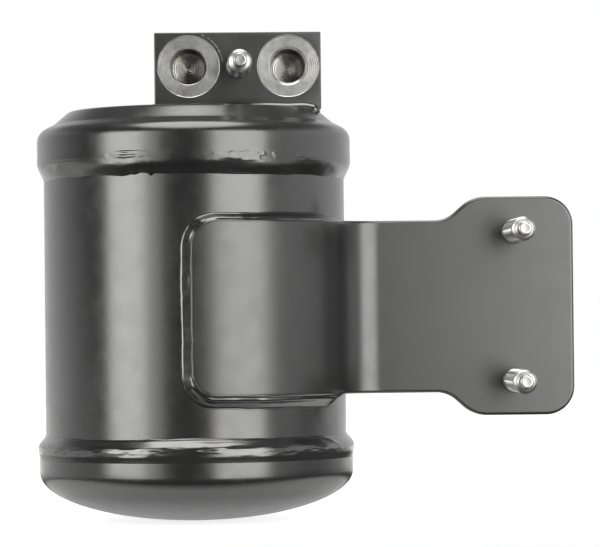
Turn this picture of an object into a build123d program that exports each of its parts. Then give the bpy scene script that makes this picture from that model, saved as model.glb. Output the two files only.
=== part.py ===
from build123d import *
import os
from math import asin, atan2, degrees, radians, sqrt, tan

# A receiver drier: a welded steel can with a two-port block on its lid and a stud bracket at its side.
# Millimetres. The pieces are drawn with the can upright on x = y = 0, its lowest point at z = 0 and the
# ports and studs facing -Y. They are then moved so that the origin lies midway between the two bracket
# studs, on the face of the bracket that seats against what carries the drier.

# Can
TUBE_OD = 101.6
TUBE_WALL = 2.0
CAN_HEIGHT = 138.3
CAP_WALL = 2.1
LAP_GAP = 0.1
END_GAP = 0.3

# Bottom cap: an ellipsoidal head and a short straight skirt
HEAD_DEPTH = 16.5
BOTTOM_SKIRT = 6.0

# Top cap: a skirt, a rounded shoulder, a crease and a raised flat lid
TOP_CAP_DEPTH = 18.3
SHOULDER_RISE = 2.9
SHOULDER_RUN = 5.8
SHOULDER_FILLET = 4.0
CREASE_FILLET = 1.2
LID_STEP = 4.4
LID_STEP_RUN = 5.1
LID_FILLET = 3.0

# Seam beads: how far each runs along the tube, laps the skirt and swells from a straight line
BOTTOM_BEAD_RUN = 6.4
BOTTOM_BEAD_LAP = 0.9
BOTTOM_BEAD_SWELL = 1.5
TOP_BEAD_RUN = 4.7
TOP_BEAD_LAP = 1.4
TOP_BEAD_SWELL = 1.0

# Port block, set a little to the left on the lid, and the bead round its foot
OUTLET_OFFSET = 1.5
PORT_SPACING = 33.4
BLOCK_LEFT_MARGIN = 11.5
BLOCK_RIGHT_MARGIN = 11.0
BLOCK_DEPTH = 28.0
BLOCK_HEIGHT = 25.7
BLOCK_EDGE_BREAK = 0.4
PORT_ABOVE_LID = 14.3
SPOTFACE_DIAMETER = 20.5
SPOTFACE_DEPTH = 0.5
OUTLET_BORE = 12.0
OUTLET_CHAMFER = 0.3
INLET_BORE = 11.5
INLET_CHAMFER = 0.8
PORT_DEPTH = 13.0
DRILL_POINT = 118.0
PASSAGE_DIAMETER = 7.0
BLOCK_BEAD_LEG = 1.8
BLOCK_BEAD_DROOP = 1.1

# Studs: a neck where they are pressed into the plate, the thread's pitch size where they are screwed in
STUD_DIAMETER = 8.0
STUD_NECK_DIAMETER = 8.6
STUD_PITCH_DIAMETER = 7.2
STUD_SHOULDER_CHAMFER = 0.7
STUD_STEP = 0.8
DOG_DIAMETER = 4.6
DOG_LENGTH = 6.0
DOG_CHAMFER = 0.5
STUD_GAP = 0.05
PORT_STUD_REACH = 22.0
PORT_STUD_ENGAGEMENT = 14.0
TAPPED_HOLE_COUNTERSINK = 0.7
BRACKET_STUD_REACH = 30.0
BRACKET_STUD_SPACING = 50.0
STUD_HEAD_DIAMETER = 15.0
STUD_HEAD_HEIGHT = 3.0
STUD_HEAD_FILLET = 1.0

# Bracket: a saddle round the can, a reverse bend, a flat neck and a wider pad. It sits just below the
# middle of the bare tube between the two seam beads.
PLATE_THICKNESS = 3.0
SADDLE_GAP = 0.1
SADDLE_LEFT_REACH = 1.9
BEND_RADIUS = 15.0
PLATE_SETBACK = 16.0
STUD_LINE_REACH = 107.1
PAD_END_MARGIN = 19.9
BRACKET_DROP = 0.8
NECK_WIDTH = 57.7
PAD_WIDTH = 73.3
NECK_REACH = 84.2
FLARE_ANGLE = 42.0
SADDLE_CORNER = 8.5
FLARE_INNER_RADIUS = 10.0
FLARE_OUTER_RADIUS = 12.0
PAD_CORNER = 9.6

# Bead round the saddle: its toe beyond each edge of the sheet and its lap on the sheet's face
BEAD_TOP_TOE = 2.2
BEAD_LEFT_TOE = 3.1
BEAD_BOTTOM_TOE = 4.5
BEAD_LAP = 1.3
BEAD_PROUD = 0.6
BEAD_ROUNDING = 1.8
BEAD_END_REACH = 47.0

# Pick-up tube and strainer
PICKUP_OD = 10.0
PICKUP_WALL = 1.0
PICKUP_GAP = 0.05
PICKUP_FOOT = 12.0
PICKUP_SEAT_DEPTH = 7.0
STRAINER_OD = 20.0
STRAINER_FOOT = 6.0
STRAINER_HEIGHT = 19.0
SCREEN_WALL = 0.6
COLLAR_HEIGHT = 5.0
STRAINER_CAP_THICKNESS = 1.5

# Drying pack
PACK_GAP = 0.2
RIM_GAP = 0.05
SHEET_THICKNESS = 1.2
RIM_HEIGHT = 6.0
LOWER_PLATE_HEIGHT = 34.0
FELT_THICKNESS = 8.0
BED_HEIGHT = 52.0
FLOW_HOLE = 6.0
INNER_HOLE_CIRCLE = 40.0
INNER_HOLE_COUNT = 8
OUTER_HOLE_CIRCLE = 72.0
OUTER_HOLE_COUNT = 12
SPRING_STRIP_WIDTH = 3.0
SPRING_STRIP_THICKNESS = 1.6
SPRING_MEAN_DIAMETER = 46.0
SPRING_TURNS = 3.0

# Degrees
QUARTER_TURN = 90

# Sizes that follow from the ones above
TUBE_R = TUBE_OD / 2
TUBE_INNER_R = TUBE_R - TUBE_WALL
CAP_INNER_R = TUBE_R + LAP_GAP
CAP_R = CAP_INNER_R + CAP_WALL
BOTTOM_EDGE = HEAD_DEPTH + BOTTOM_SKIRT
TOP_EDGE = CAN_HEIGHT - TOP_CAP_DEPTH
CREASE_R = CAP_R - SHOULDER_RUN
CREASE_HEIGHT = CAN_HEIGHT - LID_STEP
LID_R = CREASE_R - LID_STEP_RUN
SHOULDER_HEIGHT = CREASE_HEIGHT - SHOULDER_RISE
LID_UNDERSIDE = CAN_HEIGHT - CAP_WALL
OUTLET_X = -OUTLET_OFFSET
INLET_X = OUTLET_X + PORT_SPACING
BLOCK_LEFT = OUTLET_X - BLOCK_LEFT_MARGIN
BLOCK_RIGHT = INLET_X + BLOCK_RIGHT_MARGIN
BLOCK_FRONT = -BLOCK_DEPTH / 2
BLOCK_TOP = CAN_HEIGHT + BLOCK_HEIGHT
PORT_HEIGHT = CAN_HEIGHT + PORT_ABOVE_LID
PORT_STUD_X = OUTLET_X + PORT_SPACING / 2
STUD_R = STUD_DIAMETER / 2
PLATE_FRONT = -PLATE_SETBACK
PLATE_REACH = STUD_LINE_REACH + PAD_END_MARGIN
BARE_TUBE_LOW = BOTTOM_EDGE + BOTTOM_BEAD_RUN
BARE_TUBE_HIGH = TOP_EDGE - TOP_BEAD_RUN
BRACKET_HEIGHT = (BARE_TUBE_LOW + BARE_TUBE_HIGH) / 2 - BRACKET_DROP
SADDLE_INNER_R = TUBE_R + SADDLE_GAP
SADDLE_R = SADDLE_INNER_R + PLATE_THICKNESS
PICKUP_R = PICKUP_OD / 2
STRAINER_R = STRAINER_OD / 2
PACK_R = TUBE_INNER_R - PACK_GAP
PACK_BORE_R = PICKUP_R + PACK_GAP
LOWER_FELT_FOOT = LOWER_PLATE_HEIGHT + SHEET_THICKNESS
BED_FOOT = LOWER_FELT_FOOT + FELT_THICKNESS
UPPER_FELT_FOOT = BED_FOOT + BED_HEIGHT
UPPER_PLATE_HEIGHT = UPPER_FELT_FOOT + FELT_THICKNESS
UPPER_PLATE_TOP = UPPER_PLATE_HEIGHT + SHEET_THICKNESS


def cylinder(radius, low, high, x=0.0):
    """An upright cylinder between two heights."""
    return Pos(x, 0, low) * extrude(Circle(radius), high - low)


def ring(outer, inner, low, high):
    """An upright tube between two heights, on the can's axis."""
    return cylinder(outer, low, high) - cylinder(inner, low, high)


def block(left, right, front, rear, low, high):
    """A square-edged block between six limits."""
    middle = Pos((left + right) / 2, (front + rear) / 2, (low + high) / 2)
    return middle * Box(right - left, rear - front, high - low)


def turned(outline):
    """A closed outline in radius and height, turned about the upright axis."""
    face = make_face(outline).face()
    if face.normal_at().Z < 0:
        face = -face
    return revolve(Plane.XZ * face, Axis.Z)


def seen_from_front(outline):
    """A prism through the whole drier, from a closed outline in reach and height above the bracket's middle."""
    face = Plane.XZ * make_face(outline)
    return Pos(0, 0, BRACKET_HEIGHT) * extrude(face, TUBE_OD, both=True)


# Can

def shell_tube():
    """The plain tube between the two caps."""
    return ring(TUBE_R, TUBE_INNER_R, HEAD_DEPTH + END_GAP, SHOULDER_HEIGHT - SHOULDER_FILLET)


def bowl(radius, depth):
    """A solid half ellipsoid with a straight wall above it, up to the bottom cap's edge."""
    outline = Line((0, HEAD_DEPTH - depth), (0, BOTTOM_EDGE))
    outline += Line((0, BOTTOM_EDGE), (radius, BOTTOM_EDGE))
    outline += Line((radius, BOTTOM_EDGE), (radius, HEAD_DEPTH))
    outline += EllipticalCenterArc((0, HEAD_DEPTH), radius, depth, -QUARTER_TURN, arc_size=QUARTER_TURN)
    return turned(outline)


def bottom_cap():
    """The head: a sheet that thins a little over its knuckle, as a pressing does."""
    return bowl(CAP_R, HEAD_DEPTH) - bowl(CAP_INNER_R, HEAD_DEPTH - CAP_WALL)


def lid_skin():
    """The top cap's outer surface, from its edge over the shoulder, crease and lid to the axis."""
    return FilletPolyline(
        (CAP_R, TOP_EDGE),
        (CAP_R, SHOULDER_HEIGHT),
        (CREASE_R, CREASE_HEIGHT),
        (LID_R, CAN_HEIGHT),
        (0, CAN_HEIGHT),
        radius=(SHOULDER_FILLET, CREASE_FILLET, LID_FILLET),
    )


def lid_envelope():
    """The whole space under the top cap's outer surface."""
    base = Polyline((0, CAN_HEIGHT), (0, TOP_EDGE), (CAP_R, TOP_EDGE))
    return turned(lid_skin() + base)


def top_cap():
    """The lid: one even sheet, with holes for the pick-up tube and the inlet passage."""
    cap = turned(lid_skin().offset_2d(CAP_WALL, side=Side.LEFT))
    cap -= cylinder(PICKUP_R + PICKUP_GAP, CREASE_HEIGHT - CAP_WALL, CAN_HEIGHT)
    return cap - cylinder(PASSAGE_DIAMETER / 2, CREASE_HEIGHT - CAP_WALL, CAN_HEIGHT, INLET_X)


def seam_bead(edge, run, lap, swell):
    """A bead that fills the step from the tube to a skirt's edge and laps the skirt."""
    toe = (TUBE_R, edge + run)
    lap_end = (CAP_R, edge - lap)
    outline = Polyline(lap_end, (CAP_R, edge), (TUBE_R, edge), toe)
    return turned(outline + SagittaArc(toe, lap_end, swell))


def bottom_seam_weld():
    return seam_bead(BOTTOM_EDGE, BOTTOM_BEAD_RUN, BOTTOM_BEAD_LAP, BOTTOM_BEAD_SWELL)


def top_seam_weld():
    return seam_bead(TOP_EDGE, -TOP_BEAD_RUN, -TOP_BEAD_LAP, -TOP_BEAD_SWELL)


# Port block

def port_tool(x, bore, chamfer):
    """A port's cutter: a spotface, a chamfered bore and the drill's point, let in from the front."""
    bore_r = bore / 2
    point = bore_r / tan(radians(DRILL_POINT / 2))
    outline = Polyline(
        (0, 0),
        (SPOTFACE_DIAMETER / 2, 0),
        (SPOTFACE_DIAMETER / 2, SPOTFACE_DEPTH),
        (bore_r + chamfer, SPOTFACE_DEPTH),
        (bore_r, SPOTFACE_DEPTH + chamfer),
        (bore_r, PORT_DEPTH),
        (0, PORT_DEPTH + point),
        (0, 0),
    )
    return Plane(origin=(x, BLOCK_FRONT, PORT_HEIGHT), x_dir=(1, 0, 0), z_dir=(0, 1, 0)) * turned(outline)


def stud_hole():
    """The blind tapped hole between the ports, countersunk clear of the stud's full diameter."""
    hole_r = STUD_PITCH_DIAMETER / 2 + STUD_GAP
    floor = PORT_STUD_ENGAGEMENT + STUD_GAP
    point = hole_r / tan(radians(DRILL_POINT / 2))
    mouth = (hole_r + TAPPED_HOLE_COUNTERSINK, 0)
    throat = (hole_r, TAPPED_HOLE_COUNTERSINK)
    outline = Polyline((0, 0), mouth, throat, (hole_r, floor), (0, floor + point), (0, 0))
    origin = (PORT_STUD_X, BLOCK_FRONT, PORT_HEIGHT)
    return Plane(origin=origin, x_dir=(1, 0, 0), z_dir=(0, 1, 0)) * turned(outline)


def block_body():
    """The block before drilling: its edges broken, and its foot bevelled all round for the bead."""
    body = block(BLOCK_LEFT, BLOCK_RIGHT, BLOCK_FRONT, -BLOCK_FRONT, CAN_HEIGHT, BLOCK_TOP)
    foot = body.faces().sort_by(Axis.Z)[0].edges()
    broken = chamfer([edge for edge in body.edges() if edge not in foot], BLOCK_EDGE_BREAK)
    return broken & chamfer(foot, BLOCK_BEAD_LEG)


def port_block():
    """The drilled block: two ports from the front, each met by a passage from below."""
    body = block_body()
    body -= port_tool(OUTLET_X, OUTLET_BORE, OUTLET_CHAMFER)
    body -= port_tool(INLET_X, INLET_BORE, INLET_CHAMFER)
    body -= stud_hole()
    for x in (0, INLET_X):
        body -= cylinder(PASSAGE_DIAMETER / 2, CAN_HEIGHT, PORT_HEIGHT, x)
    return body - cylinder(PICKUP_R + PICKUP_GAP, CAN_HEIGHT, CAN_HEIGHT + PICKUP_SEAT_DEPTH)


def block_weld():
    """The bead round the foot: flush with the block's right face, and full under the end beyond the lid's rim."""
    reach = -BLOCK_FRONT + BLOCK_BEAD_LEG
    low = CAN_HEIGHT - BLOCK_BEAD_DROOP
    bead = block(BLOCK_LEFT - BLOCK_BEAD_LEG, BLOCK_RIGHT, -reach, reach, low, CAN_HEIGHT + BLOCK_BEAD_LEG)
    crown = bead.faces().sort_by(Axis.Z)[-1].edges().sort_by(Axis.X)[:-1]
    bead = chamfer(crown, BLOCK_BEAD_LEG)
    return bead - block_body() - lid_envelope()


# Studs

def stud(root_r, root, reach):
    """A stud along its own axis, from its root below zero to its dog point above its threaded reach."""
    dog_r = DOG_DIAMETER / 2
    shoulder_r = STUD_R - STUD_SHOULDER_CHAMFER
    end = reach + DOG_LENGTH
    outline = Polyline(
        (0, -root),
        (root_r, -root),
        (root_r, 0),
        (STUD_R, 0),
        (STUD_R, reach - STUD_SHOULDER_CHAMFER),
        (shoulder_r, reach),
        (dog_r, reach + STUD_STEP),
        (dog_r, end - DOG_CHAMFER),
        (dog_r - DOG_CHAMFER, end),
        (0, end),
        (0, -root),
    )
    return turned(outline)


def facing_front(piece, x, y, z):
    """A piece whose own axis is turned to point at the viewer from a given place."""
    return Plane(origin=(x, y, z), x_dir=(1, 0, 0), z_dir=(0, -1, 0)) * piece


def port_stud():
    """The stud screwed into the block between its ports."""
    piece = stud(STUD_PITCH_DIAMETER / 2, PORT_STUD_ENGAGEMENT, PORT_STUD_REACH)
    return facing_front(piece, PORT_STUD_X, BLOCK_FRONT, PORT_HEIGHT)


def bracket_stud(side):
    """A headed stud pressed through the plate, above or below the bracket's middle."""
    piece = stud(STUD_NECK_DIAMETER / 2, PLATE_THICKNESS, BRACKET_STUD_REACH)
    head = cylinder(STUD_HEAD_DIAMETER / 2, -PLATE_THICKNESS - STUD_HEAD_HEIGHT, -PLATE_THICKNESS)
    piece += fillet(head.edges().sort_by(Axis.Z)[0], STUD_HEAD_FILLET)
    height = BRACKET_HEIGHT + side * BRACKET_STUD_SPACING / 2
    return facing_front(piece, STUD_LINE_REACH, PLATE_FRONT, height)


def bracket_stud_upper():
    return bracket_stud(1)


def bracket_stud_lower():
    return bracket_stud(-1)


# Bracket

def strap_line(depth):
    """The sheet's run in plan, at a depth below its front face: saddle, reverse bend and flat."""
    centre_y = PLATE_FRONT - BEND_RADIUS
    centre_x = sqrt((SADDLE_R + BEND_RADIUS) ** 2 - centre_y ** 2)
    wrap = degrees(atan2(centre_x, -centre_y))
    lead = degrees(asin((SADDLE_LEFT_REACH + PLATE_THICKNESS) / SADDLE_R))
    saddle = CenterArc((0, 0), SADDLE_R - depth, -QUARTER_TURN - lead, lead + wrap)
    bend = CenterArc((centre_x, centre_y), BEND_RADIUS + depth, QUARTER_TURN + wrap, -wrap)
    flat = Line((centre_x, PLATE_FRONT + depth), (PLATE_REACH, PLATE_FRONT + depth))
    return saddle + bend + flat


def strap_outline():
    """The bracket as seen from the front: a narrow saddle and neck that flare out to the pad."""
    neck = NECK_WIDTH / 2
    pad = PAD_WIDTH / 2
    pad_start = NECK_REACH + (pad - neck) / tan(radians(FLARE_ANGLE))
    upper = [(-SADDLE_LEFT_REACH, neck), (NECK_REACH, neck), (pad_start, pad), (PLATE_REACH, pad)]
    lower = [(x, -height) for x, height in reversed(upper)]
    radii = [SADDLE_CORNER, FLARE_INNER_RADIUS, FLARE_OUTER_RADIUS, PAD_CORNER]
    return FilletPolyline(*upper, *lower, radius=radii + radii[::-1], close=True)


def bent_sheet(depth):
    """The bracket's sheet without holes, from its front face down to a depth."""
    front = strap_line(0)
    rear = strap_line(depth)
    section = front + rear + Line(front @ 0, rear @ 0) + Line(front @ 1, rear @ 1)
    sheet = Pos(0, 0, BRACKET_HEIGHT - PAD_WIDTH / 2) * extrude(make_face(section), PAD_WIDTH)
    return sheet & seen_from_front(strap_outline())


def bracket_plate():
    """One sheet, bent in plan and cut to its front outline, with two holes for the studs."""
    plate = bent_sheet(PLATE_THICKNESS)
    for side in (1, -1):
        height = BRACKET_HEIGHT + side * BRACKET_STUD_SPACING / 2
        hole = extrude(Circle(STUD_NECK_DIAMETER / 2 + STUD_GAP), PLATE_THICKNESS, both=True)
        plate -= facing_front(hole, STUD_LINE_REACH, PLATE_FRONT, height)
    return plate


def bead_outline(left, bottom, top, corner):
    """A U-shaped limit of the bead: square where the bead ends, rounded at the saddle's two corners."""
    return FilletPolyline(
        (BEAD_END_REACH, top),
        (left, top),
        (left, bottom),
        (BEAD_END_REACH, bottom),
        radius=(0, corner, corner, 0),
        close=True,
    )


def bracket_weld():
    """The bead that follows the saddle's edge down one leg, round both corners and back."""
    half = NECK_WIDTH / 2
    left = -SADDLE_LEFT_REACH
    outer = bead_outline(
        left - BEAD_LEFT_TOE, -half - BEAD_BOTTOM_TOE, half + BEAD_TOP_TOE, SADDLE_CORNER + BEAD_LEFT_TOE
    )
    inner = bead_outline(left + BEAD_LAP, -half + BEAD_LAP, half - BEAD_LAP, SADDLE_CORNER - BEAD_LAP)
    crown_r = SADDLE_R + BEAD_PROUD
    low = BRACKET_HEIGHT - half - BEAD_BOTTOM_TOE
    high = BRACKET_HEIGHT + half + BEAD_TOP_TOE
    band = ring(crown_r, TUBE_R, low, high) & block(-crown_r, crown_r, -crown_r, 0, low, high)
    bead = (band & seen_from_front(outer)) - seen_from_front(inner)
    crown = [edge for edge in bead.edges() if is_on_crown(edge, crown_r)]
    bead = fillet([edge for edge in crown if is_outside_sheet(edge)], BEAD_ROUNDING)
    return bead - bent_sheet(PLATE_THICKNESS + SADDLE_GAP)


def is_on_crown(edge, crown_r):
    """Whether an edge runs round the bead's outermost surface."""
    middle = edge @ 0.5
    return abs(sqrt(middle.X ** 2 + middle.Y ** 2) - crown_r) < SADDLE_GAP


def is_outside_sheet(edge):
    """Whether an edge lies beyond the saddle's own edge, and not across the bead's end."""
    middle = edge @ 0.5
    beyond = middle.X < -SADDLE_LEFT_REACH or abs(middle.Z - BRACKET_HEIGHT) > NECK_WIDTH / 2
    return beyond and middle.X < BEAD_END_REACH - BEAD_LAP


# Pick-up tube and strainer

def pickup_tube():
    """The dip tube, from the sump up through the lid into the outlet's passage."""
    return ring(PICKUP_R, PICKUP_R - PICKUP_WALL, PICKUP_FOOT, CAN_HEIGHT + PICKUP_SEAT_DEPTH)


def strainer_collar():
    """The ring that grips the tube and carries the screen."""
    top = STRAINER_FOOT + STRAINER_HEIGHT
    return ring(STRAINER_R - SCREEN_WALL, PICKUP_R, top - COLLAR_HEIGHT, top)


def strainer_screen():
    """The fine screen, rolled into a sleeve."""
    low = STRAINER_FOOT + STRAINER_CAP_THICKNESS
    return ring(STRAINER_R, STRAINER_R - SCREEN_WALL, low, STRAINER_FOOT + STRAINER_HEIGHT)


def strainer_cap():
    """The disc that closes the sleeve's foot."""
    return cylinder(STRAINER_R, STRAINER_FOOT, STRAINER_FOOT + STRAINER_CAP_THICKNESS)


# Drying pack

def pack_disc(low, height):
    """A plain layer of the pack, clear of the tube's wall and of the pick-up tube."""
    return ring(PACK_R, PACK_BORE_R, low, low + height)


def flow_plate(low, rim_low):
    """A perforated plate with a turned rim that slides in the tube."""
    rim_r = TUBE_INNER_R - RIM_GAP
    plate = ring(rim_r, PICKUP_R + PACK_GAP, low, low + SHEET_THICKNESS)
    plate += ring(rim_r, rim_r - SHEET_THICKNESS, rim_low, rim_low + RIM_HEIGHT)
    holes = Circle(FLOW_HOLE / 2)
    pattern = PolarLocations(INNER_HOLE_CIRCLE / 2, INNER_HOLE_COUNT) * holes
    pattern += PolarLocations(OUTER_HOLE_CIRCLE / 2, OUTER_HOLE_COUNT) * holes
    return plate - Pos(0, 0, low) * extrude(Sketch() + pattern, SHEET_THICKNESS)


def lower_plate():
    return flow_plate(LOWER_PLATE_HEIGHT, LOWER_FELT_FOOT - RIM_HEIGHT)


def lower_filter_pad():
    return pack_disc(LOWER_FELT_FOOT, FELT_THICKNESS)


def desiccant_bed():
    return pack_disc(BED_FOOT, BED_HEIGHT)


def upper_filter_pad():
    return pack_disc(UPPER_FELT_FOOT, FELT_THICKNESS)


def upper_plate():
    return flow_plate(UPPER_PLATE_HEIGHT, UPPER_PLATE_HEIGHT)


def pack_spring():
    """The coil of flat strip that holds the pack down from the underside of the lid."""
    height = LID_UNDERSIDE - UPPER_PLATE_TOP - SPRING_STRIP_THICKNESS - 2 * RIM_GAP
    path = Helix(height / SPRING_TURNS, height, SPRING_MEAN_DIAMETER / 2)
    start = Plane(origin=path @ 0, x_dir=(1, 0, 0), z_dir=path % 0)
    coil = sweep(start * Rectangle(SPRING_STRIP_WIDTH, SPRING_STRIP_THICKNESS), path=path, is_frenet=True)
    return Pos(0, 0, UPPER_PLATE_TOP + SPRING_STRIP_THICKNESS / 2 + RIM_GAP) * coil


PIECES = (
    shell_tube,
    top_cap,
    bottom_cap,
    top_seam_weld,
    bottom_seam_weld,
    port_block,
    block_weld,
    port_stud,
    bracket_plate,
    bracket_weld,
    bracket_stud_upper,
    bracket_stud_lower,
    pickup_tube,
    strainer_collar,
    strainer_screen,
    strainer_cap,
    lower_plate,
    lower_filter_pad,
    desiccant_bed,
    upper_filter_pad,
    upper_plate,
    pack_spring,
)

# Each piece is moved so that the seat between the bracket's studs becomes the origin, and saved.
os.makedirs("parts", exist_ok=True)
seat = Pos(-STUD_LINE_REACH, -PLATE_FRONT, -BRACKET_HEIGHT)
for make_piece in PIECES:
    export_step(seat * make_piece(), f"parts/{make_piece.__name__}.step")
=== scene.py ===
from math import acos, asin, atan2, cos, pi, radians, sin, sqrt, tan

import bmesh
import bpy
import numpy as np
from mathutils import Matrix, Vector
from mathutils.geometry import delaunay_2d_cdt

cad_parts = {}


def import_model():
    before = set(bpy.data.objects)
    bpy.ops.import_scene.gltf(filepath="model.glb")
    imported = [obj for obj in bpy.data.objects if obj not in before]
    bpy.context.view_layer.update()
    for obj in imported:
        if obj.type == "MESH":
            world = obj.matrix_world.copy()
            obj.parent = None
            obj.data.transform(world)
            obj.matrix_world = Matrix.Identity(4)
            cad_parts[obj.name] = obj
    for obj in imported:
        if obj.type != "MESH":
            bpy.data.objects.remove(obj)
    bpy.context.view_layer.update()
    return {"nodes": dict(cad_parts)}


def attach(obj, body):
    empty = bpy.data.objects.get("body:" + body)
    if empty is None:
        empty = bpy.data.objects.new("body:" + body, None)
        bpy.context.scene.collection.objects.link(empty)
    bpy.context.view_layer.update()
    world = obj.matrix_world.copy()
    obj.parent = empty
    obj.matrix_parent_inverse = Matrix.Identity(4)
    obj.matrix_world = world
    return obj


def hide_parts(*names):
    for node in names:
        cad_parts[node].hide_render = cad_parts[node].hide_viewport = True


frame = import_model()

# A receiver drier. Its pieces are shaped in millimetres with the can upright on x = y = 0 and its lowest
# point at z = 0, facing -Y. The row's origin is the seat midway between the bracket's studs.
MM = 0.001

# Can
TUBE_R = 50.8
TUBE_WALL = 2.0
TUBE_LOW = 16.8
TUBE_HIGH = 127.0
LAP_GAP = 0.1
CAP_WALL = 2.1
CAP_R = TUBE_R + LAP_GAP + CAP_WALL
CAN_HEIGHT = 138.3
HEAD_DEPTH = 16.5
BOTTOM_EDGE = 22.5
TOP_EDGE = 120.0
SHOULDER_HEIGHT = 131.0
SHOULDER_FILLET = 5.0
CREASE_R = 47.2
CREASE_HEIGHT = 133.9
CREASE_FILLET = 1.2
LID_R = 42.1
LID_FILLET = 3.0

# Port block, seen from the front, and its ports
BLOCK_LEFT = -13.0
BLOCK_RIGHT = 42.9
BLOCK_HALF_DEPTH = 14.0
BLOCK_TOP = 164.0
BLOCK_EDGE = 0.45
BLOCK_CORNER = 1.2
PORT_HEIGHT = 152.6
OUTLET_X = -1.5
INLET_X = 31.9
OUTLET_R = 6.0
INLET_R = 5.75
OUTLET_CHAMFER = 0.3
INLET_CHAMFER = 0.8
SPOTFACE_R = 10.25
SPOTFACE_DEPTH = 0.5
LIP = 0.2
TURNING_PITCH = 0.62
PORT_DEPTH = 13.0
DRILL_POINT = 118.0
PASSAGE_R = 3.5
OUTLET_PASSAGE_X = 0.0
OUTLET_PASSAGE_DROP = 4.9
INLET_PASSAGE_DROP = 5.6

# Cutters start this far outside the block, and faces that must not coincide are a hair apart
CLEARANCE = 3.0
HAIR = 0.001

# The arc of flaked paint round the outlet's axis, and how far right of and above that axis it comes in
FLAKE_R = 11.5
FLAKE_RIGHT = (3.5, 5.5)
FLAKE_ABOVE = (1.0, 3.0)

# Studs
STUD_R = 4.0
STUD_ROOT_R = 3.35
STUD_COLLAR_R = 4.3
STUD_PITCH = 1.25
STUD_SHOULDER = 0.7
THREAD_FLAT = 0.12
THREAD_START = 1.2
DOG_R = 2.3
DOG_GROOVE_R = 2.0
DOG_LENGTH = 6.0
PORT_STUD_REACH = 22.0
PORT_STUD_ROOT = 5.0
BRACKET_STUD_REACH = 30.0
STUD_LINE_X = 107.1
STUD_HALF_SPACING = 25.0
STUD_HEAD_R = 7.5
STUD_HEAD_HEIGHT = 3.0
STUD_HEAD_ROUND = 1.0

# Bracket
SHEET = 3.0
SHEET_EDGE = 0.9
BRACKET_STUD_ROOT = SHEET + 0.5
SADDLE_R = TUBE_R + LAP_GAP + SHEET
SADDLE_LEFT = -1.9
SADDLE_CORNER = 8.5
BEND_R = 15.0
PLATE_FRONT = -16.0
PLATE_END = 127.0
BRACKET_HEIGHT = 71.3
NECK_HALF = 28.85
NECK_REACH = 84.2
PAD_HALF = 36.65
PAD_CORNER = 9.6
FLARE_ANGLE = 42.0
FLARE_INNER_R = 10.0
FLARE_OUTER_R = 12.0
OUTLINE_START = 40.0
SEAT = np.array((STUD_LINE_X, PLATE_FRONT, BRACKET_HEIGHT))

# Weld beads
BOTTOM_TOE = 28.9
BOTTOM_LAP = 20.4
TOP_TOE = 114.9
TOP_LAP = 122.3
BEAD_LIMIT_R = 53.5
SEAM_ROOT = 0.5
SADDLE_BEAD_END = 47.0
SADDLE_TOE = 3.3
SADDLE_TOP_TOE = 2.5
SADDLE_FOOT_TOE = 4.3
SADDLE_LAP = 0.75
SADDLE_TAPER = (-1.0, 9.0)
BLOCK_BEAD_END = BLOCK_RIGHT - 0.5
BLOCK_BEAD_LEG = 2.2
BLOCK_BEAD_DROOP = 1.1
BLOCK_BEAD_TAPER = 1.5
BLOCK_BEAD_FALL = (LID_R - 3.0, LID_R + 4.0)
BLOCK_BEAD_ARC = (radians(-30), radians(120))
BLOCK_BEAD_WIDE = 0.72
BLOCK_BEAD_TALL = 0.85
BLOCK_BEAD_ROOT = 0.8

# Uneven places of the seams: their middle and half width, in turns to the right of the front. A nick's
# depth comes first.
LEFT_FOLDS = (-0.071, 0.036)
RIGHT_FOLDS = (0.055, 0.045)
LEFT_BULGE = (-0.09, 0.09)
RIGHT_BULGE = (0.085, 0.06)
ROUGH_TOE = (-0.07, 0.05)
NICKS = ((0.9, -0.0455, 0.0045), (0.54, -0.062, 0.006), (0.45, 0.31, 0.006))
START_AND_STOP = (0.14, 0.009)

# Fineness of the meshes: sides to a turn, steps, and the longest lengths
CAN_SIDES = 384
SEAM_SIDES = 1440
PORT_SIDES = 128
PASSAGE_SIDES = 64
STUD_SIDES = 72
DOME_STEPS = 40
THREAD_STEPS = 10
TUBE_STEP = 20.0
LINE_STEP = 1.5
BLOCK_BEAD_STEP = 0.5
SADDLE_BEAD_STEP = 0.4
SADDLE_STEP = 1.6
BEND_STEP = 0.5
FLAT_STEP = 2.0
BEND_MARGIN = 2.0
FILL_ROWS = 32
FILL_MARGIN = 1.5
FILL_GAP = 0.7
FILL_TOLERANCE = 1e-6
INSIDE_ONLY = 1
TINY = 1e-12


# Shapes

def fade(share):
    """A share between 0 and 1 that starts and ends gently."""
    return share * share * (3 - 2 * share)


def smooth_step(value, low, high):
    """0 below the lower limit, 1 above the higher one, and a smooth rise between."""
    return fade(np.clip((value - low) / (high - low), 0, 1))


def band(share, rise, fall):
    """1 across a band of a bead, with a smooth rise before it and a smooth fall after it."""
    return smooth_step(share, *rise) * smooth_step(-share, -fall[1], -fall[0])


def swell(share, middle, width):
    """A smooth swell across a bead, 1 at its middle."""
    return np.exp(-((share - middle) / width) ** 2)


def sector(turn, middle, half_width):
    """1 in the middle of a sector of the can, falling smoothly to 0 at its ends, in turns from the front."""
    apart = np.abs(np.mod(turn - middle + 0.5, 1.0) - 0.5)
    return smooth_step(-apart, -half_width, 0)


def wave(turn, count, seed):
    """A smooth random wave that closes on itself once a turn, between -1 and 1."""
    values = np.random.default_rng(seed).uniform(-1, 1, count)
    position = np.mod(turn, 1.0) * count
    index = np.floor(position).astype(int)
    blend = fade(position - index)
    return values[index % count] * (1 - blend) + values[(index + 1) % count] * blend


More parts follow.
